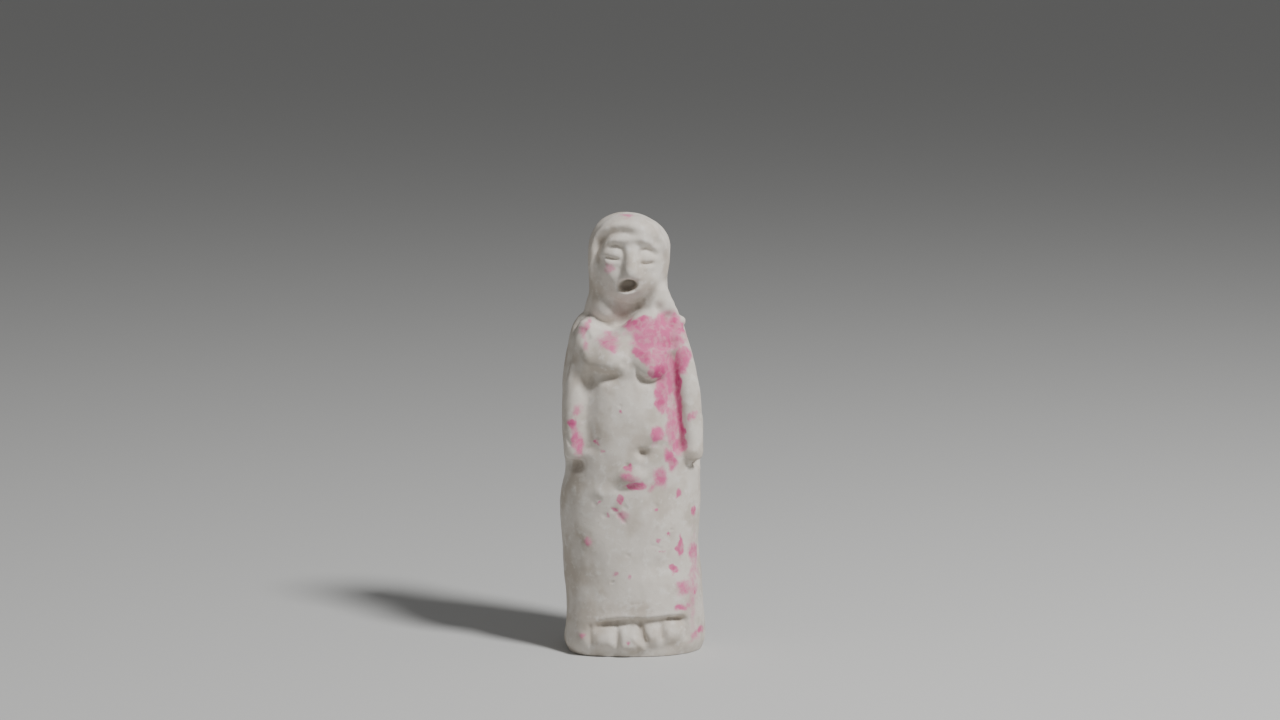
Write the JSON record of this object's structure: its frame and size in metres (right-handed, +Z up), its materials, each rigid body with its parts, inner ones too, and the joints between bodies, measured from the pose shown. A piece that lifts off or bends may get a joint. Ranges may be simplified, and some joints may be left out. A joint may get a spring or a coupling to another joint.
{
  "type": "clay female figurine",
  "caption": "Small standing woman modelled by hand in fired clay: a flat-footed column with arms at the sides, bare breasts, toes under the hem and a roll of hair over a pinched face.",
  "frame": {"origin": "on the ground under the middle of the figure's width and depth, in the flat foot", "axes": "+Z up through the figure from foot to crown, -Y the way it faces, +X its own left hand"},
  "size_m": [0.05, 0.0397, 0.15],
  "materials": {
    "fired_clay": "unglazed, dry and matt, with worn traces of rose paint"
  },
  "bodies": {
    "root": {"clay_figurine": "fired_clay"}
  },
  "joints": []
}
